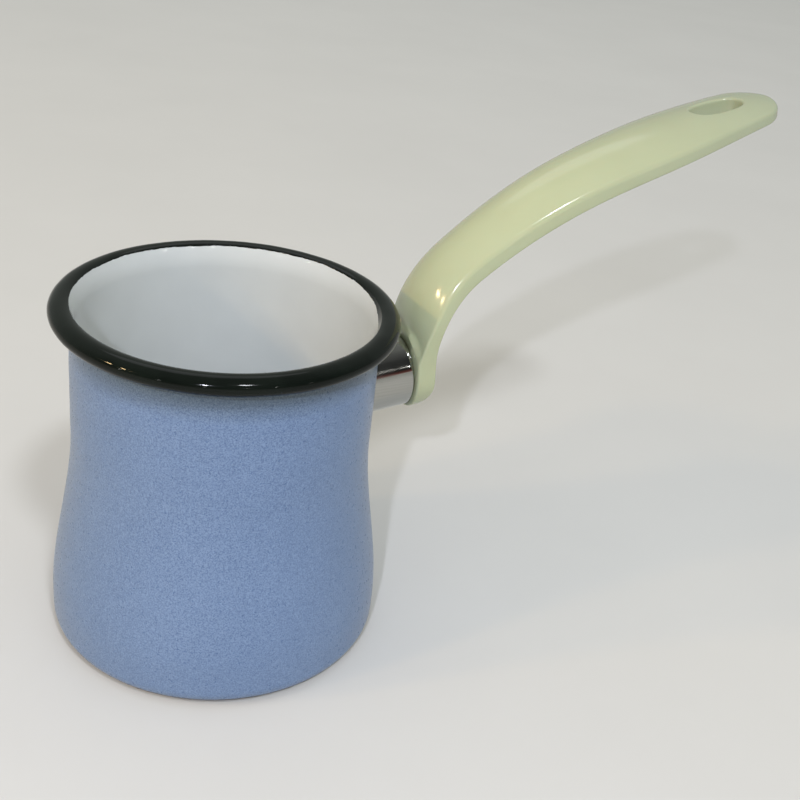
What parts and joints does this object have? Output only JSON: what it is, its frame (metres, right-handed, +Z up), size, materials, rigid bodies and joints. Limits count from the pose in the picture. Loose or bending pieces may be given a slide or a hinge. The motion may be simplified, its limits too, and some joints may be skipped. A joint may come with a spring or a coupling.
{
  "type": "turkish coffee pot",
  "caption": "Enamelled steel coffee pot with a wide foot, drawn-in neck, rolled black rim, white inside and a long curved plastic handle on a bright oval ferrule.",
  "frame": {"origin": "middle of the flat underside, on the vessel's axis", "axes": "+Z up along the vessel's axis, +X towards the handle; the XZ plane is the plane of symmetry"},
  "size_m": [0.2196, 0.092, 0.1472],
  "materials": {
    "vessel_steel": "bare under the enamel",
    "blue_enamel": "satin, finely speckled",
    "white_enamel": "gloss",
    "black_enamel": "high gloss",
    "ground_enamel": "dull",
    "ferrule_steel": "polished",
    "boss_steel": "as welded",
    "screw_steel": "bright zinc",
    "washer_steel": "spring temper, oiled",
    "handle_plastic": "moulded gloss, pale green"
  },
  "bodies": {
    "root": {"vessel_shell": "vessel_steel", "outer_enamel": "blue_enamel", "inner_enamel": "white_enamel", "rim_enamel": "black_enamel", "base_enamel": "ground_enamel", "ferrule": "ferrule_steel", "handle_bracket": "boss_steel", "handle_screw": "screw_steel", "lock_washer": "washer_steel", "handle_grip": "handle_plastic"}
  },
  "joints": []
}
